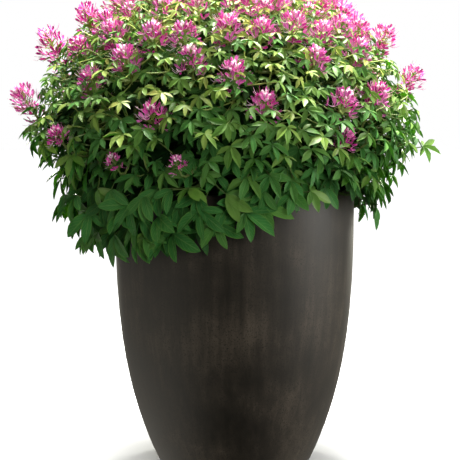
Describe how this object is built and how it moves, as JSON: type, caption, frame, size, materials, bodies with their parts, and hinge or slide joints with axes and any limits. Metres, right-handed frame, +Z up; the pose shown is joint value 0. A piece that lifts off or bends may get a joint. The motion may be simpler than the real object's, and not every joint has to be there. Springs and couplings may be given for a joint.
{
  "type": "potted spider flower",
  "caption": "Round bushy spider flower with hand-shaped leaves and pink flower heads, growing in soil in a tall, tapering dark clay pot.",
  "frame": {"origin": "middle of the flat base of the pot, on the ground", "axes": "+Z up, front of the plant towards -Y, +X to the right seen from the front"},
  "size_m": [0.8408, 0.7635, 0.9986],
  "materials": {
    "pot_clay": "dark charcoal-brown fibre clay, matt and weathered, with faint pale streaks",
    "soil": "dark crumbly potting soil",
    "foliage": "soft green leaves and stems, slightly glossy above",
    "petals": "thin matt petals, pink to magenta, paler towards the claw"
  },
  "bodies": {
    "root": {"pot": "pot_clay", "soil": "soil", "leafy_stem_01": "foliage", "leafy_stem_02": "foliage", "leafy_stem_03": "foliage", "leafy_stem_04": "foliage", "leafy_stem_05": "foliage", "leafy_stem_06": "foliage", "leafy_stem_07": "foliage", "leafy_stem_08": "foliage", "leafy_stem_09": "foliage", "leafy_stem_10": "foliage", "leafy_stem_11": "foliage", "leafy_stem_12": "foliage", "leafy_stem_13": "foliage", "flower_head_01": "petals", "flower_head_02": "petals", "flower_head_03": "petals", "flower_head_04": "petals", "flower_head_05": "petals", "flower_head_06": "petals", "flower_head_07": "petals", "flower_head_08": "petals", "flower_head_09": "petals", "flower_head_10": "petals", "flower_head_11": "petals", "flower_head_12": "petals", "flower_head_13": "petals", "flower_head_14": "petals", "flower_head_15": "petals", "flower_head_16": "petals", "flower_head_17": "petals", "flower_head_18": "petals", "flower_head_19": "petals", "flower_head_20": "petals", "flower_head_21": "petals", "flower_head_22": "petals", "flower_head_23": "petals", "flower_head_24": "petals", "flower_head_25": "petals", "flower_head_26": "petals", "flower_head_27": "petals", "flower_head_28": "petals", "flower_head_29": "petals", "flower_head_30": "petals", "flower_head_31": "petals", "flower_head_32": "petals", "flower_head_33": "petals", "flower_head_34": "petals", "flower_head_35": "petals", "flower_head_36": "petals", "flower_head_37": "petals", "flower_head_38": "petals", "flower_head_39": "petals", "flower_head_40": "petals", "flower_head_41": "petals", "flower_head_42": "petals", "flower_head_43": "petals", "flower_head_44": "petals", "flower_head_45": "petals"}
  },
  "joints": []
}
